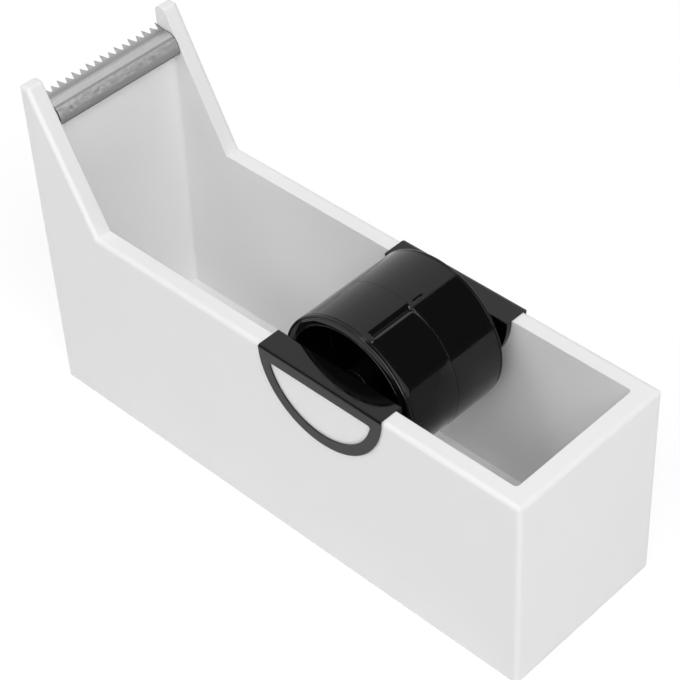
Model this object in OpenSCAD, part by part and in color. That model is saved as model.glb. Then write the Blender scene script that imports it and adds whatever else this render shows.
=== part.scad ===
// Desktop dispenser for wide packing tape. A white moulded tray, weighted inside,
// carries a toothed steel cutter on its tall end. A reel hangs in the tray by two
// black hangers that sit on the rim, lifts straight out by their finger loops, and
// turns on a stub on each hanger.
// X runs from the tall end to the low end, Z is up, and the feet stand on Z = 0.

/* [Tray] */
// Length of the tray over its end faces
tray_l = 289; // [260:1:330]
// Width of the tray over its side faces
tray_w = 90; // [86:1:104]
// Height of the long rim above the tray's bottom edge
rim_h = 107; // [98:1:120]
// Height of the ears beside the cutter, above the bottom edge
ear_h = 174; // [164:1:190]
// Length of the flat top of an ear
ear_top_l = 5.8; // [4.6:0.1:8]
// Distance from the tall end face to the foot of the sloping edge
slope_foot = 39.8; // [34:0.1:48]
// Thickness of the long double walls at the rim
side_wall = 8.6; // [7.6:0.1:10]
// Thickness of the double walls at both ends
end_wall = 9.2; // [8.2:0.1:11]
// Height of the trough's floor above the bottom edge
floor_h = 15; // [14.4:0.1:20]
// Radius of the outer edges
edge_r = 2.2; // [1:0.1:2.8]
// Radius of the trough's upright corners
trough_r = 2; // [1:0.1:4]
// Lean of the trough's long sides, in degrees
trough_draft = 1.2; // [0.3:0.1:2]
// Thickness of each moulded skin
skin = 2.2; // [1.8:0.1:2.6]
// Thickness of the stiffening ribs inside the double walls
rib_t = 1.6; // [1.2:0.1:2.4]
// Number of stiffening ribs in each long wall
rib_count = 5; // [3:1:7]

/* [Base] */
// Thickness of the base plate
base_t = 3; // [2.6:0.1:4]
// Depth of the base plate's face inside the bottom edge
base_recess = 0.3; // [0.1:0.1:0.8]
// Gap between the base plate and the tray's skin
base_gap = 0.25; // [0.1:0.05:0.5]
// Diameter of a base screw's thread
screw_d = 3; // [2.5:0.1:3.5]
// Diameter of a base screw's head
screw_head_d = 5.8; // [5:0.1:6.6]
// Length of a base screw
screw_l = 9; // [7:0.5:10]
// Gap between a screw and its hole in the base plate
screw_gap = 0.2; // [0.1:0.05:0.4]
// Depth of the thread that a screw cuts in its boss
thread_bite = 0.15; // [0.1:0.05:0.3]
// Width of the arms of a screw's cross recess
drive_w = 0.7; // [0.5:0.1:1]
// Depth of the cross recess
drive_h = 0.9; // [0.6:0.1:1.2]
// Diameter of a screw boss
boss_d = 8; // [7:0.1:9]
// Distance of the outer screws from the end faces
screw_end = 17; // [14:0.5:22]
// Distance of the screws from the side faces
screw_side = 9.5; // [8:0.1:11]
// Diameter of a rubber foot
foot_d = 14; // [10:0.5:16]
// Depth of the pocket that holds a foot
foot_pocket = 1.6; // [1:0.1:1.8]
// Radius of the edge round a foot's sole
foot_edge_r = 0.5; // [0.3:0.1:0.7]
// Height that the feet stand proud of the bottom edge
foot_proud = 0.8; // [0.4:0.1:1.5]
// Distance of the feet from the end faces
foot_end = 36; // [32:1:44]
// Distance of the feet from the side faces
foot_side = 16; // [14:1:20]

/* [Ballast] */
// Length of a ballast bar
bar_l = 100; // [60:1:104]
// Width of a ballast bar
bar_w = 54; // [40:1:56]
// Thickness of a ballast bar
bar_t = 8.6; // [6:0.1:9]
// Radius of a bar's corners
bar_corner = 2; // [1:0.5:5]
// Distance between the two ballast bars
bar_apart = 24; // [20:1:40]
// Gap between a bar and the fences round it
bar_gap = 0.3; // [0.2:0.1:0.6]
// Height of the fences on the base plate
fence_h = 4; // [2:0.5:5]
// Thickness of the fences
fence_t = 1.5; // [1:0.1:2]

/* [Cutter] */
// Thickness of the cutter's steel strip
blade_t = 0.6; // [0.4:0.1:0.8]
// Outer radius of the strip's rounded nose
nose_r = 7.1; // [6:0.1:8]
// Distance of the nose's centre from the tall end face
nose_in = 7.5; // [6.5:0.1:8.5]
// Height of the ears above the nose
nose_drop = 10.8; // [8:0.1:14]
// Slope of the toothed part, in degrees
strip_tilt = 18; // [8:1:24]
// Distance of the roots of the teeth inside the tall end face
root_in = 0.9; // [0:0.1:1.6]
// Length of the long teeth
tooth_long = 3.1; // [2.6:0.1:3.6]
// Length of the short teeth
tooth_short = 2.5; // [2:0.1:2.8]
// Pitch of the teeth
tooth_pitch = 4.2; // [3.6:0.1:5]
// Sideways place of the middle tooth
tooth_shift = -1; // [-2:0.1:2]
// Radius of the gaps at the roots of the teeth
tooth_root_r = 0.45; // [0.3:0.05:0.6]
// Gap between the strip and each ear
blade_gap = 0.25; // [0.1:0.05:0.6]
// Gap between the strip and its seat
seat_gap = 0.05; // [0.02:0.01:0.1]
// Angle below level at which the strip's lower edge ends
nose_end = 70; // [60:1:72]

/* [Hangers] */
// Distance of the reel's middle from the low end face
reel_in = 109; // [98:1:120]
// Radius of the round lower side of a hanger
hanger_r = 35.5; // [32:0.1:38]
// Thickness of the plate that sits on the rim
plate_t = 1; // [0.8:0.1:2.4]
// Thickness of the outer flap
flap_t = 1.2; // [1:0.1:2.2]
// Thickness of the inner leg at the rim
leg_t = 3; // [2.4:0.1:4]
// Width of the band round the finger opening
loop_band = 5.4; // [4:0.1:7]
// Depth of the bar above the finger opening
apron_h = 6; // [4:0.1:9]
// Corner radius of the finger opening
loop_corner = 1.2; // [0.6:0.1:2]
// Outer radius of the bend between plate and flap
bend_r = 0.9; // [0.4:0.1:1.7]
// Gap between a hanger and the wall that it straddles
hang_gap = 0.25; // [0.2:0.05:0.5]
// Gap under the plate where it rests on the rim
rest_gap = 0.05; // [0.02:0.01:0.1]

/* [Reel] */
// Radius of the drum, for a tape core of 76 mm
drum_r = 37.2; // [35:0.1:37.6]
// Length of the drum over both halves
drum_l = 58; // [52:0.5:60]
// Thickness of the drum's outer wall
drum_wall = 2.2; // [2:0.1:2.6]
// Radius of the drum's mouth
mouth_r = 32; // [30:0.1:32.6]
// Thickness of the cup inside the outer wall
cup_wall = 1.5; // [1.2:0.1:1.6]
// Depth of the drum's axis below the rim
axis_drop = 16.8; // [14:0.1:20]
// Thickness of the lip that joins cup and outer wall
lip_t = 3.2; // [2.6:0.1:4]
// Outer radius of the lip
lip_r = 1.8; // [1:0.1:2]
// Radius of the mouth's inner edge
mouth_edge_r = 0.8; // [0.4:0.1:1]
// Distance of the crease line from the drum's end
crease_in = 1.2; // [1:0.1:2]
// Width and depth of the crease line
crease = 0.4; // [0.3:0.05:0.6]
// Gap between the two halves at the seam
seam_gap = 0.1; // [0.05:0.01:0.2]
// Thickness of the web inside each half
web_t = 2.2; // [1.6:0.1:3]
// Distance from the seam to the web
web_in = 4.4; // [3.8:0.1:6]
// Length of the hub from the seam
hub_end = 24; // [18:0.5:25]
// Thickness of the hub's wall
hub_wall = 2.4; // [1.6:0.1:3.2]
// Radius of the stub that the hub turns on
stub_r = 5; // [4:0.1:6]
// Running gap between the stub and the hub
run_gap = 0.05; // [0.03:0.01:0.09]
// Play of the hub along the stub
end_play = 0.4; // [0.3:0.05:0.6]
// Height of the barb that keeps the hub on the stub
barb_h = 0.5; // [0.3:0.05:0.8]
// Length of the tapered barb
barb_l = 2.4; // [1.6:0.1:2.8]
// Width of the slot that lets the barb spring
barb_slot = 1.4; // [1:0.1:2]
// Length of the ring that joins the two halves
spigot_l = 3; // [2:0.1:3.4]
// Thickness of that ring
spigot_t = 1.3; // [1:0.1:1.4]
// Length of its root between cup and outer wall
spigot_root = 4; // [2:0.1:6]
// Gap round that ring
spigot_gap = 0.1; // [0.05:0.01:0.2]

/* [Grip leaf] */
// Angle of the leaf's free end, from the top
leaf_from = 18.5; // [14:0.5:30]
// Angle of the leaf's fixed end, from the top
leaf_to = 75; // [60:1:110]
// Thickness of the leaf
leaf_t = 1.8; // [1.2:0.1:1.8]
// Height of the free end above the drum
leaf_rise = 0.9; // [0.4:0.1:0.9]
// Distance of the leaf from the seam
leaf_in = 0.4; // [0.2:0.1:2]
// Radius over which the free end is rounded off
leaf_round = 6; // [4:0.5:8]
// Length of that rounded end
leaf_roll = 3.4; // [2:0.1:3.6]
// Width of the slit beside the leaf
slit = 0.4; // [0.3:0.05:0.6]
// Width of the groove before the free end
groove_w = 2.7; // [2:0.1:4]
// Depth of that groove
groove_d = 1; // [0.5:0.1:1.2]
// Length of that groove along the drum
groove_l = 24.6; // [16:0.1:25]
// Length of the short groove that lines it up with the other half
mark_l = 5; // [4:0.1:8]

/* [Hidden] */
$fn = 96;
eps = 0.01;
far = 400;

// Heights above the ground
z_base = foot_proud;
z_rim = z_base + rim_h;
z_ear = z_base + ear_h;
z_floor = z_base + floor_h;
z_plate = z_base + base_recess;
z_plate_top = z_plate + base_t;
z_cavity = z_rim - skin;

// The middle of the overall length is X = 0, with the teeth reaching past the tall face
tooth_reach = tooth_long * cos(strip_tilt) + blade_t * sin(strip_tilt) - root_in;
x_tall = (tooth_reach - tray_l) / 2;
x_low = x_tall + tray_l;
x_mid = (x_tall + x_low) / 2;
x_in = x_tall + end_wall;
x_foot = x_tall + slope_foot;
slope = atan2(ear_h - rim_h, slope_foot - ear_top_l);

// Half widths of the tray and of the trough at the rim
half_w = tray_w / 2;
half_in = half_w - side_wall;

// The cutter's nose, and the line on which the flat toothed part leaves it
nose_x = x_tall + nose_in;
nose_z = z_ear - nose_drop - nose_r;
bend_x = nose_x - nose_r * sin(strip_tilt);
bend_z = nose_z + nose_r * cos(strip_tilt);
strip_l = (bend_x - x_tall - root_in) / cos(strip_tilt);
blade_w = 2 * (half_in - blade_gap);

// The reel's axis and the faces that its hangers stand between
reel_x = x_low - reel_in;
reel_z = z_rim - axis_drop;
flap_y = half_w + hang_gap;
leg_y = half_in - hang_gap - leg_t;
plate_z = z_rim + rest_gap;
half_drum = drum_l / 2;
bore_r = stub_r + run_gap;
wall_r = drum_r - drum_wall;
cup_r = mouth_r + cup_wall;
leaf_end = half_drum - crease_in - crease;
leaf_shift = leaf_rise / cos(90 + leaf_from - leaf_to);

// Radius of the round lip where the crease line runs
shoulder_r = drum_r - lip_r + sqrt(pow(lip_r, 2) - pow(max(lip_r - crease_in, 0), 2));

// Angle between the leaf's free end and the middle of the groove before it
groove_turn = (groove_w + 2 * slit) / drum_r * 90 / PI;

// A flat shape drawn in Y and Z, drawn out from x0 to x1
module along_x(x0, x1) {
    translate([x0, 0, 0]) rotate([90, 0, 90]) linear_extrude(x1 - x0) children();
}

// A flat shape drawn in X and Z, drawn out from y0 to y1
module along_y(y0, y1) {
    translate([0, y1, 0]) rotate([90, 0, 0]) linear_extrude(y1 - y0) children();
}

// A rectangle from [x0, y0] to [x1, y1]
module rect(x0, y0, x1, y1) {
    translate([x0, y0]) square([x1 - x0, y1 - y0]);
}

// A rectangle about the origin with round corners
module round_rect(l, w, r) {
    square([l - 2 * r, w], center = true);
    square([l, w - 2 * r], center = true);
    for (sx = [-1, 1], sy = [-1, 1])
        translate([sx * (l / 2 - r), sy * (w / 2 - r)]) circle(r);
}

// A rectangle whose two upper corners are round
module round_top(x0, y0, x1, y1, r) {
    rect(x0, y0, x1, y1 - r);
    rect(x0 + r, y0, x1 - r, y1);
    translate([x0 + r, y1 - r]) circle(r);
    translate([x1 - r, y1 - r]) circle(r);
}

// The corner circle where an ear's flat top meets its slope
function tip_x(inset, r) =
    x_foot - (ear_h - rim_h - inset - r) / tan(slope) - (inset + r) / sin(slope);

// Outline of an ear, moved in by inset all round, with round upper corners
module ear_outline(inset, r) {
    top = z_ear - inset;
    cx = tip_x(inset, r);
    run = (top - r + r * cos(slope) - z_base) / tan(slope);
    polygon([
        [x_tall + inset, z_base],
        [x_tall + inset, top - r],
        [x_tall + inset + r, top],
        [cx, top],
        [cx + r * sin(slope), top - r + r * cos(slope)],
        [cx + r * sin(slope) + run, z_base]
    ]);
    translate([x_tall + inset + r, top - r]) circle(r);
    translate([cx, top - r]) circle(r);
}

// Tray outline seen from above, with round upright edges
module tray_plan(height) {
    translate([x_mid, 0, z_base]) linear_extrude(height) round_rect(tray_l, tray_w, edge_r);
}

// Outer form of the long low part, with every outer edge round
module low_block() {
    intersection() {
        tray_plan(rim_h);
        along_x(x_tall, x_low) round_top(-half_w, z_base, half_w, z_rim, edge_r);
        along_y(-half_w, half_w) round_top(x_tall - far, z_base, x_low, z_rim, edge_r);
    }
}

// Outer form of the tall end, with round edges along the ears and the slope
module tall_block() {
    intersection() {
        tray_plan(ear_h);
        along_x(x_tall, x_low) round_top(-half_w, z_base, half_w, z_ear, edge_r);
        along_y(-half_w, half_w) ear_outline(0, edge_r);
        translate([x_foot, 0, z_rim]) rotate([0, slope, 0])
            along_x(-far, far) round_top(-half_w, -far, half_w, 0, edge_r);
    }
}

// Section of the trough: upright above the rim, leaning in below it.
// grow moves all its faces outwards.
module trough_section(grow) {
    lean = (z_rim - z_floor) * tan(trough_draft);
    polygon([
        [-half_in + lean - grow, z_floor - grow],
        [half_in - lean + grow, z_floor - grow],
        [half_in + grow, z_rim],
        [half_in + grow, z_ear + far],
        [-half_in - grow, z_ear + far],
        [-half_in - grow, z_rim]
    ]);
}

// Space inside the trough, open upwards
module trough(grow) {
    along_x(x_in - grow, x_low - end_wall + grow) trough_section(grow);
}

// A fillet down one upright corner of the trough, leaning with the long side
module corner_fillet(x, sx, sy) {
    lean_l = (z_rim - z_floor) / cos(trough_draft);
    translate([x, sy * half_in, z_rim]) scale([sx, sy, 1]) {
        rotate([-trough_draft, 0, 0]) translate([0, 0, -lean_l]) fillet_bar(lean_l);
        if (sx > 0)
            fillet_bar(nose_z - nose_r - z_rim);
    }
}

// The fillet's own form: a square with a round bite, standing in a corner
module fillet_bar(height) {
    linear_extrude(height) difference() {
        translate([-eps, -trough_r]) square([trough_r + eps, trough_r + eps]);
        translate([trough_r, -trough_r]) circle(trough_r);
    }
}

// The notch between the ears, down to the cutter's seat
module seat_notch() {
    drop = blade_t + seat_gap;
    seat_x = bend_x + drop * sin(strip_tilt);
    seat_z = bend_z - drop * cos(strip_tilt);
    out = seat_x - x_tall + edge_r;
    along_y(-half_in, half_in) polygon([
        [seat_x - out, seat_z - out * tan(strip_tilt)],
        [seat_x, seat_z],
        [nose_x, nose_z],
        [x_in + eps, nose_z],
        [x_in + eps, z_ear + edge_r],
        [seat_x - out, z_ear + edge_r]
    ]);
}

// The rounded nose on the end wall that the cutter wraps round
module seat_nose() {
    along_y(-half_in - eps, half_in + eps)
        translate([nose_x, nose_z]) circle(nose_r - blade_t - seat_gap);
}

// The space between the skins, open at the bottom, with the ribs left standing
module wall_cavity() {
    difference() {
        union() {
            along_y(-half_w + skin, half_w - skin)
                rect(x_tall + skin, z_base - eps, x_low - skin, z_cavity);
            along_y(-half_w + skin, half_w - skin) translate([0, -eps])
                ear_outline(skin, edge_r);
        }
        trough(skin);
        along_y(-half_in - skin, half_in + skin)
            rect(x_tall, nose_z - nose_r - skin, x_in + skin, z_ear + far);
        side_ribs();
    }
}

// Cross ribs in the long walls, above the base plate
module side_ribs() {
    pitch = (x_low - x_foot) / (rib_count + 1);
    for (i = [1 : rib_count])
        translate([x_foot + i * pitch - rib_t / 2, -half_w, z_floor - skin])
            cube([rib_t, tray_w, far]);
}

// Places of the base screws and of the feet, seen from above
screw_xs = [x_tall + screw_end, x_mid, x_low - screw_end];
foot_xs = [x_tall + foot_end, x_low - foot_end];
screw_spots = [for (x = screw_xs, s = [-1, 1]) [x, s * (half_w - screw_side)]];
foot_spots = [for (x = foot_xs, s = [-1, 1]) [x, s * (half_w - foot_side)]];
screw_head_h = (screw_head_d - screw_d) / 2;

// A screw boss under the trough's floor or at its side, with its pilot hole
module bosses() {
    for (p = screw_spots) translate([p.x, p.y, z_plate_top])
        difference() {
            cylinder(d = boss_d, h = z_floor - skin / 2 - z_plate_top);
            translate([0, 0, -eps])
                cylinder(d = screw_d, h = screw_l - base_t + screw_gap + eps);
        }
}

module body_shell() {
    color("whitesmoke") {
        difference() {
            union() {
                low_block();
                tall_block();
            }
            trough(0);
            seat_notch();
            wall_cavity();
        }
        seat_nose();
        for (sy = [-1, 1]) {
            corner_fillet(x_in, 1, sy);
            corner_fillet(x_low - end_wall, -1, sy);
        }
        bosses();
    }
}

module base_plate() {
    margin = 2 * (skin + base_gap);
    color("gainsboro") difference() {
        union() {
            translate([x_mid, 0, z_plate]) linear_extrude(base_t)
                round_rect(tray_l - margin, tray_w - margin, edge_r);
            for (s = [-1, 1])
                translate([x_mid + s * (bar_l + bar_apart) / 2, 0, z_plate_top - eps])
                    bar_fence();
        }
        for (p = screw_spots) translate([p.x, p.y, z_plate]) {
            translate([0, 0, -eps]) cylinder(d = screw_d + 2 * screw_gap, h = base_t + 1);
            cylinder(d1 = screw_head_d + 2 * screw_gap, d2 = screw_d, h = screw_head_h + screw_gap);
        }
        for (p = foot_spots) translate([p.x, p.y, z_plate - eps])
            cylinder(d = foot_d + 2 * base_gap, h = foot_pocket + eps);
    }
}

// A low fence that stands round one ballast bar
module bar_fence() {
    inner = 2 * bar_gap;
    outer = inner + 2 * fence_t;
    linear_extrude(fence_h) difference() {
        square([bar_l + outer, bar_w + outer], center = true);
        square([bar_l + inner, bar_w + inner], center = true);
    }
}

// A plain steel bar, on the side given by s
module ballast_bar(s) {
    color("dimgray")
        translate([x_mid + s * (bar_l + bar_apart) / 2, 0, z_plate_top])
            linear_extrude(bar_t) round_rect(bar_l, bar_w, bar_corner);
}

module base_screws() {
    color("silver") for (p = screw_spots) translate([p.x, p.y, z_plate]) difference() {
        union() {
            cylinder(d1 = screw_head_d, d2 = screw_d, h = screw_head_h);
            cylinder(d = screw_d - 2 * thread_bite, h = screw_l);
        }
        for (a = [0, 90]) rotate(a) translate([0, 0, -eps])
            linear_extrude(drive_h + eps) square([screw_d + drive_w, drive_w], center = true);
    }
}

module rubber_feet() {
    color("dimgray") for (p = foot_spots) translate([p.x, p.y, 0])
        rotate_extrude() {
            rect(0, 0, foot_d / 2 - foot_edge_r, z_plate + foot_pocket);
            rect(0, foot_edge_r, foot_d / 2, z_plate + foot_pocket);
            translate([foot_d / 2 - foot_edge_r, foot_edge_r]) circle(foot_edge_r);
        }
}

// Outline of the toothed part laid flat: u is the way out from the bend, v is along Y.
// Long and short teeth take turns, as on a strip cut from a longer one.
module toothed_outline() {
    first = -ceil(blade_w / 2 / tooth_pitch) - 1;
    tips = [for (k = [first : -first])
        [strip_l + (k % 2 == 0 ? tooth_short : tooth_long), k * tooth_pitch + tooth_shift]];
    roots = [for (t = tips) [strip_l, t.y + tooth_pitch / 2]];
    intersection() {
        rect(-eps, -blade_w / 2, strip_l + tooth_long, blade_w / 2);
        difference() {
            polygon(concat(
                [[-eps, tips[0].y]],
                [for (i = [0 : len(tips) - 1], p = [tips[i], roots[i]]) p],
                [[-eps, roots[len(roots) - 1].y]]
            ));
            for (r = roots) translate([r.x + tooth_root_r / 2, r.y]) circle(tooth_root_r);
        }
    }
}

module cutter_blade() {
    color("silver") {
        along_y(-blade_w / 2, blade_w / 2) translate([nose_x, nose_z]) intersection() {
            difference() {
                circle(nose_r);
                circle(nose_r - blade_t);
            }
            polygon([
                [0, 0],
                far * [cos(nose_end), -sin(nose_end)],
                [far, far],
                [0, far],
                far * [-sin(strip_tilt), cos(strip_tilt)]
            ]);
        }
        translate([bend_x, 0, bend_z]) rotate([0, -strip_tilt, 180])
            translate([0, 0, -blade_t]) linear_extrude(blade_t) toothed_outline();
    }
}

// Outline of a hanger seen from the side: flat on top, a half disc below
module hanger_outline() {
    rect(reel_x - hanger_r, z_rim - eps, reel_x + hanger_r, plate_z + plate_t);
    intersection() {
        translate([reel_x, z_rim]) circle(hanger_r);
        rect(reel_x - hanger_r, z_rim - hanger_r, reel_x + hanger_r, z_rim);
    }
}

// Section of the far hanger: outer flap, plate on the rim, inner leg
module hanger_section() {
    low = z_rim - hanger_r;
    top = plate_z + plate_t;
    intersection() {
        union() {
            rect(flap_y, low, flap_y + flap_t, top);
            rect(leg_y, plate_z, flap_y + flap_t, top);
            polygon([
                [leg_y, low],
                [leg_y + leg_t - hanger_r * tan(trough_draft), low],
                [leg_y + leg_t, z_rim],
                [leg_y + leg_t, top],
                [leg_y, top]
            ]);
        }
        round_top(leg_y, low, flap_y + flap_t, top, min(bend_r, plate_t - eps));
    }
}

// The opening for a finger: a half disc cut off straight under the apron, round corners
module finger_opening() {
    r = hanger_r - loop_band;
    deep = apron_h + loop_corner;
    cx = sqrt(pow(r - loop_corner, 2) - pow(deep, 2));
    translate([reel_x, z_rim]) {
        intersection() {
            circle(r);
            rect(-r, -r, r, -deep);
        }
        rect(-cx, -deep - eps, cx, -apron_h);
        for (s = [-1, 1]) translate([s * cx, -deep]) circle(loop_corner);
    }
}

// The stub on the inner leg: a shoulder, the journal and a barb that springs on a slot
module stub() {
    tip = web_in - end_play;
    translate([reel_x, 0, reel_z]) rotate([-90, 0, 0]) difference() {
        union() {
            translate([0, 0, hub_end + end_play])
                cylinder(r = stub_r + hub_wall, h = leg_y - hub_end - end_play + eps);
            translate([0, 0, tip - eps]) cylinder(r = stub_r, h = leg_y - tip);
            translate([0, 0, tip - barb_l])
                cylinder(r1 = stub_r - 2 * barb_h, r2 = stub_r + barb_h, h = barb_l);
        }
        translate([-barb_slot / 2, -2 * stub_r, 0]) cube([barb_slot, 4 * stub_r, hub_end / 2]);
    }
}

// The far hanger; the near one is its mirror image
module hanger() {
    color("black") {
        difference() {
            intersection() {
                along_y(0, far) hanger_outline();
                along_x(reel_x - hanger_r, reel_x + hanger_r) hanger_section();
            }
            along_y(half_w, half_w + far) finger_opening();
        }
        stub();
    }
}

module hanger_near() {
    mirror([0, 1, 0]) hanger();
}

module hanger_far() {
    hanger();
}

// Half of the drum along Z, with the seam at Z = 0 and +Y as its top. The outer wall and
// the cup inside it are joined by the round lip, so that the leaf has room to spring.
module drum_half() {
    difference() {
        rotate_extrude() difference() {
            union() {
                rect(wall_r, seam_gap / 2, drum_r, half_drum - lip_r);
                rect(mouth_r, web_in, cup_r, half_drum - mouth_edge_r);
                rect(mouth_r, half_drum - lip_t, drum_r, half_drum - lip_r);
                rect(mouth_r + mouth_edge_r, half_drum - lip_t, drum_r - lip_r, half_drum);
                translate([drum_r - lip_r, half_drum - lip_r]) circle(lip_r);
                translate([mouth_r + mouth_edge_r, half_drum - mouth_edge_r])
                    circle(mouth_edge_r);
                rect(bore_r, web_in, cup_r, web_in + web_t);
                rect(bore_r, web_in, bore_r + hub_wall, hub_end);
            }
            rect(shoulder_r - crease, leaf_end, far, leaf_end + crease);
        }
        leaf_window();
        groove(leaf_from - groove_turn, leaf_in, groove_l);
        groove(180 - leaf_from + groove_turn, leaf_in + groove_w / 2, mark_l);
    }
    leaf();
}

// A wedge between two angles counted from the top, from z0 to z1
module wedge(a0, a1, z0, z1) {
    mid = (a0 + a1) / 2;
    translate([0, 0, z0]) linear_extrude(z1 - z0) polygon([
        [0, 0],
        far * [sin(a0), cos(a0)],
        far * [sin(mid), cos(mid)],
        far * [sin(a1), cos(a1)]
    ]);
}

// The window that frees the leaf at its end, along the seam and along the crease
module leaf_window() {
    gap = slit / drum_r * 180 / PI;
    intersection() {
        difference() {
            cylinder(r = drum_r + 1, h = half_drum);
            translate([0, 0, -eps]) cylinder(r = wall_r - eps, h = half_drum);
        }
        wedge(leaf_from - gap, leaf_to, -eps, leaf_end);
    }
}

// The leaf: part of a ring moved towards its free end, so that it rises out of the drum,
// with that end rounded off by a cylinder that lies along it
module leaf() {
    root = 3;
    low = leaf_end - slit - leaf_in;
    roll = leaf_roll / drum_r * 180 / PI;
    reach = drum_r + leaf_rise - leaf_round;
    translate([0, 0, leaf_in]) intersection() {
        translate(leaf_shift * [sin(leaf_to - 90), cos(leaf_to - 90), 0]) difference() {
            cylinder(r = drum_r, h = low);
            translate([0, 0, -eps]) cylinder(r = drum_r - leaf_t, h = low + 1);
        }
        union() {
            wedge(leaf_from + roll, leaf_to + root, 0, low);
            intersection() {
                wedge(leaf_from, leaf_from + 2 * roll, 0, low);
                translate(reach * [sin(leaf_from + roll), cos(leaf_from + roll), 0])
                    cylinder(r = leaf_round, h = low);
            }
        }
    }
}

// A shallow groove with round ends, its middle at the angle given from the top
module groove(angle, start, length) {
    run = length - groove_w;
    rotate([0, 0, -angle])
        translate([0, drum_r - groove_d, start + groove_w / 2]) rotate([-90, 0, 0])
            linear_extrude(far) {
                translate([-groove_w / 2, -run]) square([groove_w, run]);
                circle(groove_w / 2);
                translate([0, -run]) circle(groove_w / 2);
            }
}

// The near half carries the ring that plugs into the far half
module drum_near_half() {
    joint_r = cup_r + spigot_gap + spigot_t;
    color("black") translate([reel_x, 0, reel_z]) {
        rotate([90, 0, 0]) drum_half();
        rotate([-90, 0, 0]) rotate_extrude() {
            rect(joint_r - spigot_t, -web_in - spigot_root, joint_r, spigot_l);
            rect(cup_r - eps, -web_in - spigot_root, wall_r + eps, -web_in);
        }
    }
}

module drum_far_half() {
    color("black") translate([reel_x, 0, reel_z]) rotate([-90, 0, 0]) drum_half();
}

body_shell();
base_plate();
ballast_bar(-1);  // ballast_bar_tall_end
ballast_bar(1);  // ballast_bar_low_end
base_screws();
rubber_feet();
cutter_blade();
hanger_near();
hanger_far();
drum_near_half();
drum_far_half();
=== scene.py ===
import bmesh
import bpy
import numpy as np
from mathutils import Matrix, Vector


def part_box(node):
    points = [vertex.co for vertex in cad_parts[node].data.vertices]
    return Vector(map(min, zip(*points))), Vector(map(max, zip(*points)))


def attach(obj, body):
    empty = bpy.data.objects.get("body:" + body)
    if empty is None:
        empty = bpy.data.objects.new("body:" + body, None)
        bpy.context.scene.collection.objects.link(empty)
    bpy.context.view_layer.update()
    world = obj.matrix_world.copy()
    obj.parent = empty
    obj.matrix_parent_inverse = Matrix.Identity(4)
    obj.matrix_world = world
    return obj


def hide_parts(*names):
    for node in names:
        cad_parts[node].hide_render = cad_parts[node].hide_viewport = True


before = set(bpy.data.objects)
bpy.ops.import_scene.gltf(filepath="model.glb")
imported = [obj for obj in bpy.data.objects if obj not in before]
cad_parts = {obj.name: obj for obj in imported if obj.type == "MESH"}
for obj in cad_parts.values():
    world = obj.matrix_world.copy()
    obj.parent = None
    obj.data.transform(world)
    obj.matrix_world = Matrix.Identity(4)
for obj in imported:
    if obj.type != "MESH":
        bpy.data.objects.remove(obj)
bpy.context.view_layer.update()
MM = 0.001

# ---------------------------------------------------------------------------
# The photographer's view. A long lens looks down on the low end and the near
# side from about a metre away, with the camera rolled a little to the left.
# ---------------------------------------------------------------------------
view_azimuth = np.radians(46.02)
view_elevation = np.radians(42.54)
view_roll = np.radians(-3.27)
view_distance = 0.9942
view_aim = np.array([-0.0256, 0.0284, 0.0432])
sensor_width = 36.0
focal_px = 2120.8
frame_px = 680

back = np.array([
    np.sin(view_azimuth) * np.cos(view_elevation),
    -np.cos(view_azimuth) * np.cos(view_elevation),
    np.sin(view_elevation),
])
level = np.array([np.cos(view_azimuth), np.sin(view_azimuth), 0.0])
upright = np.cross(back, level)
right = np.cos(view_roll) * level + np.sin(view_roll) * upright
up = np.cross(back, right)
lens_place = view_aim + view_distance * back

camera_data = bpy.data.cameras.new("camera")
camera_data.sensor_width = sensor_width
camera_data.lens = focal_px * sensor_width / frame_px
camera_data.clip_end = 20.0
camera = bpy.data.objects.new("camera", camera_data)
turn = Matrix([[right[i], up[i], back[i]] for i in range(3)]).to_4x4()
camera.matrix_world = Matrix.Translation(Vector(lens_place)) @ turn
bpy.context.collection.objects.link(camera)
bpy.context.scene.camera = camera
bpy.context.scene.view_settings.view_transform = "Standard"

# ---------------------------------------------------------------------------
# The studio: a white sweep, white to the lens but dimmer in reflections, seven large
# soft lamps all round, and a pale floor that keeps a faint shadow. Cards that only
# reflections see give the black reel its dark panel and its thin lights.
# ---------------------------------------------------------------------------
floor_radius, floor_corners = 2.5, 96
floor_hex, floor_glow, floor_shadow = "#E7E7E7", 1.09, 0.3
sweep_plain, sweep_mirrored = 0.2, 0.85
lamp_side, lamp_away = 1.4, 2.6
lamp_ways = [(0.6, -0.2, 0.77), (0.2, -0.6, 0.77), (-0.35, -0.6, 0.72), (-0.3, 0.6, 0.74), (0.7, -0.7, 0.15),
             (0.97, 0, 0.25), (-0.75, 0.65, 0.08)]
lamp_watts = [29.8, 12.2, 14.7, 5.3, 0.6, 4.4, 18.0]


def add_node(tree, kind, inputs=(), **settings):
    """Adds a node: settings are its properties, and inputs are values or links by socket."""
    made = tree.nodes.new(kind)
    for name, value in settings.items():
        setattr(made, name, value)
    for socket, value in dict(inputs).items():
        if isinstance(value, bpy.types.NodeSocket):
            tree.links.new(value, made.inputs[socket])
        else:
            made.inputs[socket].default_value = value
    return made


def linear(text):
    """An sRGB hex colour as linear RGBA: c / 12.92 below 0.04045, else ((c + 0.055) / 1.055) ^ 2.4."""
    srgb = np.array([int(text[i:i + 2], 16) for i in (1, 3, 5)]) / 255
    channels = np.where(srgb <= 0.04045, srgb / 12.92, ((srgb + 0.055) / 1.055) ** 2.4)
    return (*channels, 1.0)


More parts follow.
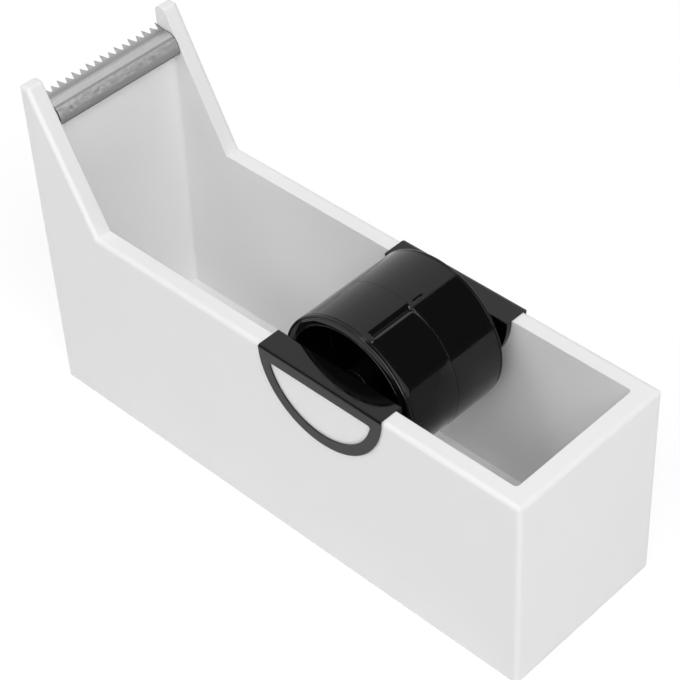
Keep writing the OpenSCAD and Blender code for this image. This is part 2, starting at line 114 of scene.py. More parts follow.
def mesh_piece(name, points, faces):
    """Makes an object from rows of points in millimetres and rows of point numbers."""
    mesh = bpy.data.meshes.new(name)
    mesh.from_pydata(np.asarray(points) * MM, [], [list(map(int, face)) for face in faces])
    mesh.update()
    piece = bpy.data.objects.new(name, mesh)
    bpy.context.collection.objects.link(piece)
    return piece


def seen_by(tree, plain, mirrored, direct):
    """A value by the kind of ray: direct for the lens and through clear things, mirrored for
    reflections, plain for all others."""
    path = add_node(tree, "ShaderNodeLightPath")
    lens = add_node(tree, "ShaderNodeMath", {0: path.outputs["Is Camera Ray"], 1: path.outputs["Is Transmission Ray"]},
                    operation="MAXIMUM")
    value = add_node(tree, "ShaderNodeMath", {0: path.outputs["Is Glossy Ray"], 1: mirrored - plain, 2: plain},
                     operation="MULTIPLY_ADD")
    return add_node(tree, "ShaderNodeMath", {0: lens.outputs[0], 1: direct - plain, 2: value.outputs[0]},
                    operation="MULTIPLY_ADD").outputs[0]


world = bpy.data.worlds.new("white_sweep")
world.use_nodes = True
sweep = world.node_tree.nodes["Background"]
sweep.inputs["Color"].default_value = (1, 1, 1, 1)
world.node_tree.links.new(seen_by(world.node_tree, sweep_plain, sweep_mirrored, 1.0), sweep.inputs["Strength"])
world.cycles.sampling_method = "NONE"
bpy.context.scene.world = world

for lamp_way, watts in zip(lamp_ways, lamp_watts):
    lamp_data = bpy.data.lights.new("soft_box", "AREA")
    lamp_data.size = lamp_side
    lamp_data.energy = watts
    lamp = bpy.data.objects.new("soft_box", lamp_data)
    lamp.location = Vector(lamp_way).normalized() * lamp_away
    lamp.rotation_euler = Vector(lamp_way).to_track_quat("Z", "Y").to_euler()
    lamp.visible_glossy = False
    lamp.visible_camera = False
    bpy.context.collection.objects.link(lamp)

# The floor is paper that the lens sees as a glow with a little of its own shade, which keeps the
# object's shadow; all other rays meet it as plain pale paper.
around = np.linspace(0, 2 * np.pi, floor_corners, endpoint=False)
disc = np.stack([np.cos(around), np.sin(around), 0 * around], axis=1) * floor_radius / MM
floor = mesh_piece("floor", disc, [range(floor_corners)])

paper = bpy.data.materials.new("floor_paper")
paper.use_nodes = True
tree = paper.node_tree
tree.nodes.clear()
plain = add_node(tree, "ShaderNodeBsdfDiffuse", {"Color": linear(floor_hex)})
white = add_node(tree, "ShaderNodeBsdfDiffuse", {"Color": (1, 1, 1, 1)})
glow = add_node(tree, "ShaderNodeEmission", {"Color": (1, 1, 1, 1),
                                             "Strength": seen_by(tree, 0.0, sweep_mirrored, floor_glow)})
shown = add_node(tree, "ShaderNodeMixShader", {0: floor_shadow, 1: glow.outputs[0], 2: white.outputs[0]})
mixed = add_node(tree, "ShaderNodeMixShader", {0: seen_by(tree, 0.0, 1.0, 1.0), 1: plain.outputs[0],
                                               2: shown.outputs[0]})
add_node(tree, "ShaderNodeOutputMaterial", {"Surface": mixed.outputs[0]})
floor.data.materials.append(paper)


def studio_card(name, corners, strength):
    """A flat card that only reflections see, from its corners in millimetres."""
    card = mesh_piece(name, corners, [range(len(corners))])
    skin = bpy.data.materials.new(name)
    skin.use_nodes = True
    skin.node_tree.nodes.clear()
    shine = add_node(skin.node_tree, "ShaderNodeEmission", {"Color": (1, 1, 1, 1), "Strength": strength})
    add_node(skin.node_tree, "ShaderNodeOutputMaterial", {"Surface": shine.outputs[0]})
    card.data.materials.append(skin)
    card.visible_camera = False
    card.visible_diffuse = False
    card.visible_transmission = False
    card.visible_shadow = False


# A black flag hangs over the reel and slopes down behind it. Its near edge runs slantwise, and the
# drum mirrors it as the dark panel of the leaf.
flag_near_edge = [(47, -200), (134, -140), (640, 223), (800, 330)]
flag_far_y, flag_tone = 1100, 0.06
flag_high_x, flag_high_z = 47, 336
flag_low_x, flag_low_z = 800, 170


def flag_point(x, y):
    """A point of the flag, whose height falls evenly from its high to its low edge."""
    part = (x - flag_high_x) / (flag_low_x - flag_high_x)
    return (x, y, flag_high_z + part * (flag_low_z - flag_high_z))


flag_corners = flag_near_edge + [(flag_low_x, flag_far_y), (flag_high_x, flag_far_y)]
studio_card("black_flag", [flag_point(x, y) for x, y in flag_corners], flag_tone)

# The flag's skirt hangs from its low edge nearly to the floor, so that no gap shows at the horizon.
skirt_near_y, skirt_low_z, skirt_tone = 300, 60, 0.09
studio_card("flag_skirt", [
    flag_point(flag_low_x, skirt_near_y),
    flag_point(flag_low_x, flag_far_y),
    (flag_low_x, flag_far_y, skirt_low_z),
    (flag_low_x, skirt_near_y, skirt_low_z),
], skirt_tone)

# The bright strip in front bends over the drum's lip at one distance from it.
strip_turns = np.radians([14, 26, 38, 50, 61])
strip_tilts = np.radians([22, 40])
strip_away, strip_light = 900, 4.6
lip_place = np.array([60, -28, 116])


def mirror_way(angle, tilt):
    """The way in which a surface of the drum's lip sends the view: its normal stands at an angle
    from the top and is tilted towards the near side."""
    normal = np.array([np.sin(angle) * np.cos(tilt), -np.sin(tilt), np.cos(angle) * np.cos(tilt)])
    return 2 * normal.dot(back) * normal - back


strip_rows = [lip_place + strip_away * mirror_way(angle, tilt)
              for angle in strip_turns for tilt in strip_tilts]
for i in range(len(strip_turns) - 1):
    studio_card("bright_strip_%d" % (i + 1), [strip_rows[2 * i + j] for j in (0, 1, 3, 2)], strip_light)

# A dark card at the near left draws the thin dark lines on the reel's left edges.
card_low_z, card_high_z, card_tone = 180, 900, 0.1
card_feet = [(-350, -900), (-900, -650)]
studio_card("dark_card", [(x, y, card_low_z) for x, y in card_feet]
            + [(x, y, card_high_z) for x, y in card_feet[::-1]], card_tone)

# ---------------------------------------------------------------------------
# Tray: one hollow double-walled shell of white ABS, injection moulded with a satin
# texture. The material rounds its edges off a little, as a moulding's edges are.
# ---------------------------------------------------------------------------
tray_edge = 0.6
tray_hex, tray_lighter_hex, tray_darker_hex = "#F4F4F4", "#F6F6F6", "#F3F3F4"


def start_material(name, colour, **shader):
    """A material with one Principled shader, whose even values are set on its own sockets."""
    made = bpy.data.materials.new(name)
    made.use_nodes = True
    principled = made.node_tree.nodes["Principled BSDF"]
    principled.inputs["Base Color"].default_value = linear(colour)
    for socket, value in shader.items():
        principled.inputs[socket.replace("_", " ")].default_value = value
    return made, made.node_tree, principled


def dress(piece, made):
    """Gives the piece one material in all its slots."""
    piece.data.materials.clear()
    piece.data.materials.append(made)


# White ABS, moulded in a finely eroded steel mould: an even satin with a very fine grain.
white_abs, tree, shader = start_material("white_abs_satin_moulded", tray_hex, IOR=1.53, Specular_IOR_Level=0.36)
place = add_node(tree, "ShaderNodeTexCoord").outputs["Object"]
grain = add_node(tree, "ShaderNodeTexNoise", {"Vector": place, "Scale": 1 / (0.6 * MM), "Detail": 2.0})
cloud = add_node(tree, "ShaderNodeTexNoise", {"Vector": place, "Scale": 1 / (55 * MM), "Detail": 3.0})
gloss = add_node(tree, "ShaderNodeMapRange", {0: cloud.outputs["Fac"], 1: 0.3, 2: 0.7, 3: 0.5, 4: 0.6})
tint = add_node(tree, "ShaderNodeMix", {0: cloud.outputs["Fac"], 6: linear(tray_lighter_hex),
                                         7: linear(tray_darker_hex)}, data_type="RGBA")
edges = add_node(tree, "ShaderNodeBevel", {"Radius": tray_edge * MM}, samples=6)
bump = add_node(tree, "ShaderNodeBump", {"Height": grain.outputs["Fac"], "Strength": 0.12, "Distance": 0.03 * MM,
                                         "Normal": edges.outputs[0]})
tree.links.new(gloss.outputs[0], shader.inputs["Roughness"])
tree.links.new(tint.outputs[2], shader.inputs["Base Color"])
tree.links.new(bump.outputs[0], shader.inputs["Normal"])
dress(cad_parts["body_shell"], white_abs)

# ---------------------------------------------------------------------------
# Base: a flat ABS plate closes the underside over two sheared steel bars. Six
# zinc-plated screws hold it, and four rubber feet sit in its round pockets.
# ---------------------------------------------------------------------------
matt_abs, tree, shader = start_material("grey_white_abs_textured", "#DCDCDC", Roughness=0.6, IOR=1.53)
place = add_node(tree, "ShaderNodeTexCoord").outputs["Object"]
grain = add_node(tree, "ShaderNodeTexNoise", {"Vector": place, "Scale": 1 / (0.5 * MM), "Detail": 3.0})
bump = add_node(tree, "ShaderNodeBump", {"Height": grain.outputs["Fac"], "Strength": 0.35, "Distance": 0.05 * MM})
tree.links.new(bump.outputs[0], shader.inputs["Normal"])
dress(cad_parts["base_plate"], matt_abs)

# Mild steel bar as sheared: dark mill scale in patches over a dull grey.
bar_steel, tree, shader = start_material("mild_steel_bar", "#6E6E70", Metallic=1.0, Roughness=0.5)
place = add_node(tree, "ShaderNodeTexCoord").outputs["Object"]
scale = add_node(tree, "ShaderNodeTexNoise", {"Vector": place, "Scale": 1 / (6 * MM), "Detail": 6.0})
tint = add_node(tree, "ShaderNodeMix", {0: scale.outputs["Fac"], 6: linear("#4C4B4C"), 7: linear("#8A898B")},
                data_type="RGBA")
tree.links.new(tint.outputs[2], shader.inputs["Base Color"])
for bar in ("ballast_bar_tall_end", "ballast_bar_low_end"):
    dress(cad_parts[bar], bar_steel)

# Zinc plating on steel screws: bright, slightly blue and finely mottled.
zinc, tree, shader = start_material("zinc_plated_steel", "#C9CBCF", Metallic=1.0, Roughness=0.3)
place = add_node(tree, "ShaderNodeTexCoord").outputs["Object"]
mottle = add_node(tree, "ShaderNodeTexVoronoi", {"Vector": place, "Scale": 1 / (0.8 * MM)})
gloss = add_node(tree, "ShaderNodeMapRange", {0: mottle.outputs["Distance"], 3: 0.22, 4: 0.4})
tree.links.new(gloss.outputs[0], shader.inputs["Roughness"])
dress(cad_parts["base_screws"], zinc)

# Moulded rubber feet: dark grey and matt, with a soft bloom.
rubber, tree, shader = start_material("moulded_rubber", "#3A3A3B", Roughness=0.75, IOR=1.52)
place = add_node(tree, "ShaderNodeTexCoord").outputs["Object"]
bloom = add_node(tree, "ShaderNodeTexNoise", {"Vector": place, "Scale": 1 / (2.5 * MM), "Detail": 4.0})
tint = add_node(tree, "ShaderNodeMix", {0: bloom.outputs["Fac"], 6: linear("#333334"), 7: linear("#444445")},
                data_type="RGBA")
tree.links.new(tint.outputs[2], shader.inputs["Base Color"])
dress(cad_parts["rubber_feet"], rubber)

# ---------------------------------------------------------------------------
# Cutter: one strip of stainless steel 0.6 mm thick, bent round the nose of the tall
# end wall. Past a crease its free edge is a flange that points outwards and a little
# up, and its teeth are cut long and short in turn with round gaps between them.
# ---------------------------------------------------------------------------
blade_low, blade_high = (np.array(corner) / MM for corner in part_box("cutter_blade"))
# The CAD strip's outer radius, and the angle below level at which its low edge ends, give the nose.
blade_t = 0.6
blade_nose_r, cad_blade_end = 7.1, np.radians(70)
blade_end, blade_crease = np.radians(-23), np.radians(103.5)
crease_turn, crease_length = np.radians(23.5), 0.5
blade_round = 0.14
gap_from, gap_r = 3.0, 0.6
slope_long, slope_short = 2.37, 1.74
tooth_pitch, tooth_shift = 4.257, -2.2
blade_half = blade_high[1]
nose_x = blade_high[0] - blade_nose_r
nose_z = blade_low[2] + blade_nose_r * np.sin(cad_blade_end)


def tooth_line(y):
    """How far the toothed edge lies beyond its gaps' bottoms at y. A gap's bottom is an arc of
    radius gap_r; where the arc reaches a tooth's slope, a straight flank runs on to the tip."""
    place = (y - tooth_shift) / tooth_pitch
    nearest = np.round(place)
    slope = np.where(nearest % 2 == 0, slope_short, slope_long)
    from_gap = (0.5 - np.abs(place - nearest)) * tooth_pitch
    turn = np.arctan(slope)
    arc = gap_r - np.sqrt(np.clip(gap_r ** 2 - from_gap ** 2, 0, None))
    flank = gap_r * (1 - np.cos(turn)) + slope * (from_gap - gap_r * np.sin(turn))
    return np.where(from_gap < gap_r * np.sin(turn), arc, flank)


# The outer face's line: its heading turns evenly round the nose and back over the crease, and its
# places are the running sum of the heading's sine and cosine, moved so that 0 lies at the crease.
line_before, line_beyond, line_count = 1, 9, 1600
line_s = np.linspace((blade_end - blade_crease) * blade_nose_r - line_before, line_beyond, line_count)
line_heading = (np.pi / 2 + blade_crease + np.minimum(line_s, 0) / blade_nose_r
                - crease_turn * np.clip(line_s / crease_length, 0, 1))
line_step = np.diff(line_s, prepend=line_s[0])
line_x = np.cumsum(np.cos(line_heading) * line_step)
line_z = np.cumsum(np.sin(line_heading) * line_step)
line_x += nose_x + blade_nose_r * np.cos(blade_crease) - np.interp(0, line_s, line_x)
line_z += nose_z + blade_nose_r * np.sin(blade_crease) - np.interp(0, line_s, line_z)


def strip_point(along, depth, y):
    """A point of the bent strip. along is the way from the crease, outwards over the flange and
    inwards round the nose; depth is measured inwards from the outer face."""
    heading = np.interp(along, line_s, line_heading)
    x = np.interp(along, line_s, line_x) - depth * np.sin(heading)
    z = np.interp(along, line_s, line_z) + depth * np.cos(heading)
    return np.stack(np.broadcast_arrays(x, y, z), axis=-1)


def loop_faces(rows, loops):
    """Quads between neighbouring loops of a grid that has that many closed loops of that many points."""
    ring = np.arange(rows)
    start = np.arange(loops - 1)[:, None] * rows
    after = (ring + 1) % rows
    quads = np.stack([start + ring, start + after, start + rows + after, start + rows + ring], axis=-1)
    return quads.reshape(-1, 4)


# Rows across the strip stand even, and closer together in the gaps and at the tips.
tooth_middles = np.arange(-12, 12)[:, None] * tooth_pitch + tooth_shift
gap_ys = tooth_middles + 0.5 * tooth_pitch + gap_r * np.linspace(-1, 1, 17)
tip_ys = tooth_middles + np.array([-0.08, 0, 0.08])
blade_ys = np.concatenate([np.linspace(-blade_half, blade_half, 200), gap_ys.ravel(), tip_ys.ravel()])
blade_ys = np.unique(blade_ys[np.abs(blade_ys) <= blade_half].round(4))
edge_turn = np.linspace(0, np.pi, 7)[1:-1]
nose_steps = np.linspace(0, 1, 70)
low_along = (blade_end - blade_crease) * blade_nose_r
front = gap_from + tooth_line(blade_ys)


def section_at(front_at):
    """One closed loop round the strip: outer face, round cutting edge, inner face, round low edge."""
    outer = low_along + blade_round + nose_steps * (-low_along - blade_round)
    flat = np.concatenate([np.linspace(0, crease_length, 7)[1:],
                           crease_length + np.linspace(0, 1, 10)[1:] * (front_at - blade_round - crease_length)])
    half = blade_t / 2
    along = np.concatenate([
        outer, flat, front_at - blade_round + blade_round * np.sin(edge_turn),
        flat[::-1], outer[::-1], low_along + blade_round - blade_round * np.sin(edge_turn),
    ])
    depth = np.concatenate([
        0 * outer, 0 * flat, half - half * np.cos(edge_turn),
        blade_t + 0 * flat, blade_t + 0 * outer, half + half * np.cos(edge_turn),
    ])
    return along, depth


sections = [section_at(value) for value in front]
along_grid = np.array([pair[0] for pair in sections])
depth_grid = np.array([pair[1] for pair in sections])
grid = strip_point(along_grid, depth_grid, blade_ys[:, None])
count = grid.shape[1]
faces = [list(face) for face in loop_faces(count, len(blade_ys))]
faces.append(list(range(count))[::-1])
faces.append([(len(blade_ys) - 1) * count + i for i in range(count)])
blade = mesh_piece("cutter_strip", grid.reshape(-1, 3), faces)


def close_up(piece, sharp=35):
    """Recalculates the normals of a closed mesh and shades it smooth, sharp above an angle in degrees."""
    work = bmesh.new()
    work.from_mesh(piece.data)
    bmesh.ops.remove_doubles(work, verts=work.verts, dist=1e-7)
    bmesh.ops.recalc_face_normals(work, faces=work.faces)
    for face in work.faces:
        face.smooth = True
    for edge in work.edges:
        edge.smooth = bool(len(edge.link_faces) == 2 and edge.calc_face_angle(0) < np.radians(sharp))
    work.to_mesh(piece.data)
    work.free()


close_up(blade)


def places(piece):
    """The places of a mesh's points in millimetres, as rows: in single precision, each place times
    the reciprocal of MM, as Blender's own vectors are divided."""
    flat = np.empty(3 * len(piece.data.vertices), np.float32)
    piece.data.vertices.foreach_get("co", flat)
    return (flat * (np.float32(1) / np.float32(MM))).reshape(-1, 3).astype(float)


def nose_angle(spots):
    """The angle round the nose's middle line, in degrees: 0 is level with it on the low end's side."""
    return np.degrees(np.arctan2(spots[:, 2] - nose_z, spots[:, 0] - nose_x))


# Every point keeps its angle round the nose, by which the steel's finish and its painted reflection bands change over
# the strip.
turn = blade.data.attributes.new("nose_turn", "FLOAT", "POINT")
turn.data.foreach_set("value", nose_angle(places(blade)).astype(np.float32))

# The steel's brightness, by the angle round the nose in degrees, is painted reflection and shade: darker at the
# low edge, lighter below the grinding line, dark on that line, lighter over the top, darker in the crease and
# lighter again towards the teeth's tips, as the bent strip would mirror the studio.
painted_reflection_bands = [(-22, 0.4), (-9, 0.5), (9, 0.53), (20, 0.68), (45, 0.7), (50, 0.62), (54, 0.4), (58, 0.72), (63, 0.95),
               (85, 0.92), (104, 0.56), (112, 0.57), (128, 0.84), (134, 0.7)]
ramp_from, ramp_to = -40.0, 140.0
ground_from, ground_to = 52.0, 56.0

# Stainless steel: ground along Y above the line where the grinding stopped, with streaks that
# change the gloss more than the colour; as rolled below it, duller and mottled.
stainless, tree, shader = start_material("stainless_steel_strip", "#C8C8C9", Metallic=1.0)
place = add_node(tree, "ShaderNodeTexCoord").outputs["Object"]
turned = add_node(tree, "ShaderNodeAttribute", attribute_name="nose_turn").outputs["Fac"]
rolled = add_node(tree, "ShaderNodeMapRange", {0: turned, 1: ground_from, 2: ground_to, 3: 1.0, 4: 0.0})
stretch = add_node(tree, "ShaderNodeMapping", {"Vector": place, "Scale": (1, 0.03, 1)})
streak = add_node(tree, "ShaderNodeTexNoise", {"Vector": stretch.outputs[0], "Scale": 1 / (0.5 * MM), "Detail": 4.0})
wave = add_node(tree, "ShaderNodeTexNoise", {"Vector": stretch.outputs[0], "Scale": 1 / (2.2 * MM), "Detail": 2.0})
mottle = add_node(tree, "ShaderNodeTexNoise", {"Vector": place, "Scale": 1 / (1.4 * MM), "Detail": 5.0})
ground = add_node(tree, "ShaderNodeMapRange", {0: streak.outputs["Fac"], 1: 0.3, 2: 0.7, 3: 0.15, 4: 0.45})
dull = add_node(tree, "ShaderNodeMapRange", {0: mottle.outputs["Fac"], 1: 0.3, 2: 0.7, 3: 0.5, 4: 0.8})
gloss = add_node(tree, "ShaderNodeMix", {0: rolled.outputs[0], 2: ground.outputs[0], 3: dull.outputs[0]})
streaky = add_node(tree, "ShaderNodeMix", {0: streak.outputs["Fac"], 6: linear("#BCBCBE"), 7: linear("#E2E2E2")},
                   data_type="RGBA")
mottled = add_node(tree, "ShaderNodeMix", {0: mottle.outputs["Fac"], 6: linear("#B4B4B6"), 7: linear("#FFFFFF")},
                   data_type="RGBA")
tint = add_node(tree, "ShaderNodeMix", {0: rolled.outputs[0], 6: streaky.outputs[2], 7: mottled.outputs[2]},
                data_type="RGBA")
# The colour is multiplied by the painted reflection and shade bands, read by the angle round the nose.
part = add_node(tree, "ShaderNodeMapRange", {0: turned, 1: ramp_from, 2: ramp_to})
bands = add_node(tree, "ShaderNodeValToRGB", {0: part.outputs[0]})
for angle, tone in painted_reflection_bands:
    stop = bands.color_ramp.elements.new((angle - ramp_from) / (ramp_to - ramp_from))
    stop.color = (tone, tone, tone, 1)
banded = add_node(tree, "ShaderNodeMix", {0: 1.0, 6: tint.outputs[2], 7: bands.outputs[0]},
                  data_type="RGBA", blend_type="MULTIPLY")
bump = add_node(tree, "ShaderNodeBump", {"Height": wave.outputs["Fac"], "Strength": 0.5, "Distance": 0.06 * MM})
tree.links.new(gloss.outputs[0], shader.inputs["Roughness"])
tree.links.new(banded.outputs[2], shader.inputs["Base Color"])
tree.links.new(bump.outputs[0], shader.inputs["Normal"])
dress(blade, stainless)

# The two sheared ends are duller and darker than the rolled faces; the low edge gets the same dark as painted shadow in
# its gap to the wall.
sheared_and_shadow, tree, shader = start_material("stainless_steel_sheared", "#6A6A6C", Metallic=1.0, Roughness=0.5)
place = add_node(tree, "ShaderNodeTexCoord").outputs["Object"]
tear = add_node(tree, "ShaderNodeTexNoise", {"Vector": place, "Scale": 1 / (0.3 * MM), "Detail": 3.0})
tint = add_node(tree, "ShaderNodeMix", {0: tear.outputs["Fac"], 6: linear("#3C3C3E"), 7: linear("#6E6E70")},
                data_type="RGBA")
tree.links.new(tint.outputs[2], shader.inputs["Base Color"])
blade.data.materials.append(sheared_and_shadow)
painted_shadow_below, end_band = -19, 0.25
middles = np.empty(3 * len(blade.data.polygons))
blade.data.polygons.foreach_get("center", middles)
middles = middles.reshape(-1, 3) / MM
# Below this angle round the nose the low edge is painted dark: a painted shadow where the strip meets the wall.
painted_shadow_edge = nose_angle(middles) < painted_shadow_below
at_end = np.abs(middles[:, 1]) > blade_half - end_band
blade.data.polygons.foreach_set("material_index", (painted_shadow_edge | at_end).astype(np.int32))
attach(blade, "tray")
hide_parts("cutter_blade")

# ---------------------------------------------------------------------------
# Hangers: two mirrored mouldings of polished black ABS that sit astride the
# rim, each with a finger opening outside and the reel's stub inside.
# ---------------------------------------------------------------------------
hanger_edge = 0.2
plate_under, plate_t, plate_thinned = 107.85, 1.0, 0.5
flap_inside, flap_t, flap_thinned = 45.25, 1.2, 0.55
cad_bend_r, bend_grown = 0.9, 1.0
black_hex = "#0B0B0B"

# Black ABS from a polished mould: a deep gloss with the slightest waviness and a few fine rubs.
black_abs, tree, shader = start_material("black_abs_polished", black_hex, IOR=1.45)
place = add_node(tree, "ShaderNodeTexCoord").outputs["Object"]
ripple = add_node(tree, "ShaderNodeTexNoise", {"Vector": place, "Scale": 1 / (14 * MM), "Detail": 2.0})
rub = add_node(tree, "ShaderNodeTexNoise", {"Vector": place, "Scale": 1 / (5 * MM), "Detail": 6.0})
gloss = add_node(tree, "ShaderNodeMapRange", {0: rub.outputs["Fac"], 1: 0.35, 2: 0.75, 3: 0.05, 4: 0.14})
bump = add_node(tree, "ShaderNodeBump", {"Height": ripple.outputs["Fac"], "Strength": 0.3, "Distance": 0.05 * MM})
tree.links.new(gloss.outputs[0], shader.inputs["Roughness"])
tree.links.new(bump.outputs[0], shader.inputs["Normal"])


def rounded_copy(node, name, edge):
    """A copy of a CAD node with its doubles merged, its flat faces joined and its sharp edges
    rounded by a Bevel modifier of that radius in millimetres."""
    work = bmesh.new()
    work.from_mesh(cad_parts[node].data)
    bmesh.ops.remove_doubles(work, verts=work.verts, dist=2e-6)
    bmesh.ops.dissolve_limit(work, angle_limit=np.radians(0.2), verts=work.verts, edges=work.edges)
    for face in work.faces:
        face.smooth = True
    mesh = bpy.data.meshes.new(name)
    work.to_mesh(mesh)
    work.free()
    piece = bpy.data.objects.new(name, mesh)
    bpy.context.collection.objects.link(piece)
    bevel = piece.modifiers.new("edges", "BEVEL")
    bevel.width = edge * MM
    bevel.segments = 3
    bevel.limit_method = "ANGLE"
    bevel.angle_limit = np.radians(25)
    bevel.miter_outer = "MITER_ARC"
    bevel.use_clamp_overlap = True
    weigh = piece.modifiers.new("normals", "WEIGHTED_NORMAL")
    weigh.keep_sharp = False
    weigh.weight = 80
    return piece


def slimmed(spots):
    """The hanger's points with its plate and its flap thinner from outside by an even scaling of
    their thickness, and with the bend between them grown: each point of the bend moves down and
    inwards as far as it lies along the bend, so that its arc keeps its form at a larger radius."""
    x, y, z = spots.T
    on_bend_z = cad_bend_r - (plate_under + plate_t - z)
    on_bend_y = cad_bend_r - (flap_inside + flap_t - np.abs(y))
    bent = (np.minimum(on_bend_z, on_bend_y) > -0.01) * bend_grown
    down = plate_thinned * np.clip((z - plate_under) / plate_t, 0, 1) + bent * np.clip(1 - on_bend_z / cad_bend_r, 0, 1)
    inward = (flap_thinned * np.clip((np.abs(y) - flap_inside) / flap_t, 0, 1)
              + bent * np.clip(1 - on_bend_y / cad_bend_r, 0, 1))
    return np.stack([x, y - np.sign(y) * inward, z - down], axis=1)


for side in ("near", "far"):
    hanger = rounded_copy("hanger_" + side, "reel_hanger_" + side, hanger_edge)
    hanger.data.vertices.foreach_set("co", (slimmed(places(hanger)) * MM).ravel())
    hanger.data.update()
    dress(hanger, black_abs)
    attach(hanger, "reel_frame")
    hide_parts("hanger_" + side)

# ---------------------------------------------------------------------------
# Drum: two like halves of polished black ABS that plug together at the seam.
# Each has a web, a hub that turns on a stub, a thick round lip at its mouth and
# a sprung leaf that grips the tape's core, with a groove before its free end.
# ---------------------------------------------------------------------------
axis_x, axis_z = 36.617, 91.0
drum_r, drum_half = 37.2, 29.0
wall_r, mouth_r = 35.0, 32.0
seam_half, seam_turn = 0.04, 0.1
web_from, web_to = 4.4, 6.6
hub_in, hub_out, hub_end = 5.05, 7.45, 24.0
ring_in, ring_out, ring_end = 33.6, 34.9, -3.0
leaf_from, leaf_to = np.radians(21.1), np.radians(75)
leaf_rise, leaf_roll, leaf_arch, leaf_corner = 0.88, 3.0, 5.55, 1.8
leaf_low, leaf_high = 0.3, 27.0
groove_from, groove_fall, groove_deep = np.radians(13.8), 2.4, 1.2
groove_low, groove_high, groove_flare = -0.3, 24.9, 1.5
chamfer_from, chamfer_to = 2.3, 4.8
mark_mid, mark_half, mark_deep = np.radians(15.9), 0.9, 0.5
mark_low, mark_high = 2.7, 8.0
crease_at, crease_deep, crease_wide = 27.4, 0.35, 0.16


def step_up(value, start, width):
    """0 before start, 1 after start + width, and a smooth 3t^2 - 2t^3 between."""
    t = np.clip((value - start) / width, 0, 1)
    return t * t * (3 - 2 * t)


def rounded_path(corners):
    """Points of a path with round corners: each corner is (a, r, radius, steps), and a corner's
    arc is the quadratic curve between the two points that lie one radius before and after it."""
    points = []
    spots = np.array([corner[:2] for corner in corners], float)
    for i, (a, r, radius, steps) in enumerate(corners):
        here = spots[i]
        before, after = spots[i - 1], spots[(i + 1) % len(spots)]
        start = here + (before - here) / np.linalg.norm(before - here) * radius
        end = here + (after - here) / np.linalg.norm(after - here) * radius
        t = np.linspace(0, 1, steps)[:, None]
        points.append((1 - t) ** 2 * start + 2 * t * (1 - t) * here + t ** 2 * end)
    return np.concatenate(points)


def slot_depth(arc, a, low, high, half):
    """1 inside a slot with round ends that runs along the drum from low to high, 0 outside."""
    past = np.clip(np.abs(a - (low + high) / 2) - (high - low) / 2 + half, 0, None)
    return 1 - step_up(np.hypot(arc, past), half - 0.35, 0.45)


def soft_ramp(value, softness):
    """0 before 0 and value after, joined by the hyperbola (v + sqrt(v^2 + s^2)) / 2."""
    return (value + np.hypot(value, softness)) / 2


def leaf_height(angle, a):
    """Height of the moulded surface above the plain drum. A round trough falls before the leaf's
    free end, whose chamfer rises out of it to the leaf's top; from there the leaf sinks evenly to
    its root and rolls down along its sides in an arc. The mark lines up with the other half's
    trough, and the crease rings the drum."""
    along = (angle - groove_from) * drum_r
    trough = groove_deep * step_up(a, groove_low, groove_flare) * (1 - step_up(a, groove_high - groove_flare,
                                                                               groove_flare))
    side = np.minimum(a - leaf_low, leaf_high - a)
    back_by = np.clip(leaf_corner - np.clip(side, 0, None), 0, None)
    back_by = leaf_corner - np.sqrt(leaf_corner ** 2 - back_by ** 2)
    end = along - back_by
    chamfer = (soft_ramp(end - chamfer_from, 0.2) - soft_ramp(end - chamfer_to, 0.25)) / (chamfer_to - chamfer_from)
    rise = leaf_rise * np.clip((leaf_to - angle) / (leaf_to - leaf_from), 0, 1)
    short = np.clip(leaf_roll - np.clip(side, 0, None), 0, None)
    dropped = leaf_arch - np.sqrt(leaf_arch ** 2 - short ** 2)
    leaf = np.where(side > 0, np.clip(rise - dropped * rise / leaf_rise, 0, None), 0)
    mark = -mark_deep * slot_depth((angle - np.pi + mark_mid) * drum_r, a, mark_low, mark_high, mark_half)
    crease = -crease_deep * np.exp(-((a - crease_at) / crease_wide) ** 2)
    front = np.clip(chamfer, 0, 1) * (along > 0)
    fall = (soft_ramp(along - 0.2, 0.3) - soft_ramp(along - groove_fall, 0.1)) / (groove_fall - 0.2)
    return -trough * np.clip(fall, 0, 1) + front * (leaf + trough) + mark + crease


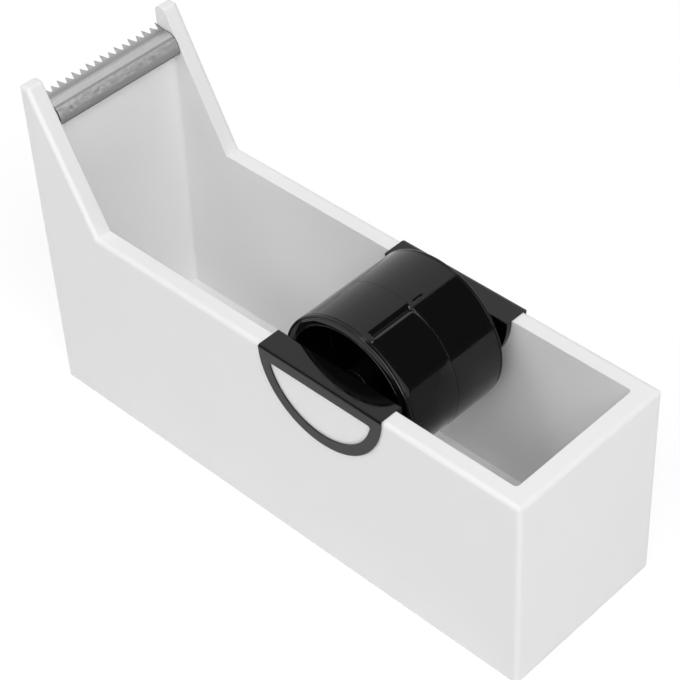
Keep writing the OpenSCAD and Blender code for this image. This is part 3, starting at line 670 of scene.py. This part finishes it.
def drum_half_piece(name, near):
    """A closed surface carried round the axis: the half's section, with its outer wall moved in
    and out by leaf_height. The far half is the near one turned half a turn about X; only the near
    half carries the ring that plugs into the other."""
    outer_a = np.unique(np.concatenate([
        np.linspace(seam_half + seam_turn, 2.4, 16), np.linspace(2.4, 23.0, 34), np.linspace(23.0, 26.8, 20),
        np.linspace(26.8, 28.1, 22),
    ]).round(4))
    section = [
        (28.9, drum_r, 0.8, 10), (28.9, 36.4, 0.12, 4), (28.3, 36.4, 0.08, 3), (28.3, 36.15, 0.08, 3),
        (28.5, 36.1, 0.1, 3), (drum_half, 34.0, 0.8, 8), (drum_half, 33.35, 0.15, 3), (28.65, 33.25, 0.1, 3),
        (28.65, 32.95, 0.1, 3), (drum_half, 32.85, 0.2, 4), (drum_half, mouth_r, 0.5, 8),
        (web_to, mouth_r, 0.8, 4), (web_to, hub_out, 0.8, 4), (hub_end, hub_out, 0.3, 4),
        (hub_end, hub_in, 0.3, 4), (web_from, hub_in, 0.2, 3),
    ]
    if near:
        section += [(web_from, ring_in, 0.3, 3), (ring_end, ring_in, 0.3, 3), (ring_end, ring_out, 0.3, 3),
                    (seam_half, ring_out, 0.04, 3)]
    else:
        section += [(web_from, wall_r, 0.3, 3), (seam_half, wall_r, 0.2, 3)]
    section = rounded_path(section + [(seam_half, drum_r, seam_turn, 5)])
    section_a = np.concatenate([outer_a[1:-1], section[:, 0]])
    section_r = np.concatenate([np.full(len(outer_a) - 2, drum_r), section[:, 1]])
    turns = np.unique(np.concatenate([
        np.linspace(-180, 180, 181), np.linspace(12.5, 26, 91), np.linspace(161, 167, 25), np.linspace(72, 77, 11),
    ]).round(3))[:-1]
    angle = np.radians(turns)[:, None]
    on_wall = (section_r > drum_r - 0.2) & (section_a < 28.2)
    radius = section_r[None, :] + on_wall * leaf_height(angle, section_a[None, :])
    y = section_a[None, :] + 0 * angle
    if near:
        x, y, z = radius * np.sin(angle), -y, radius * np.cos(angle)
    else:
        x, z = radius * np.sin(angle), -radius * np.cos(angle)
    points = np.stack([x + axis_x, y, z + axis_z], axis=-1).reshape(-1, 3)
    rows, loops = len(section_a), len(turns)
    ring = np.arange(rows)
    after = (ring + 1) % rows
    last = (loops - 1) * rows
    closing = np.stack([last + ring, last + after, after, ring], axis=-1)
    piece = mesh_piece(name, points, np.concatenate([loop_faces(rows, loops), closing]))
    close_up(piece, 50)
    return piece


for side in ("near", "far"):
    half = drum_half_piece("drum_shell_" + side, side == "near")
    dress(half, black_abs)
    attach(half, "drum")
    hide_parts("drum_" + side + "_half")
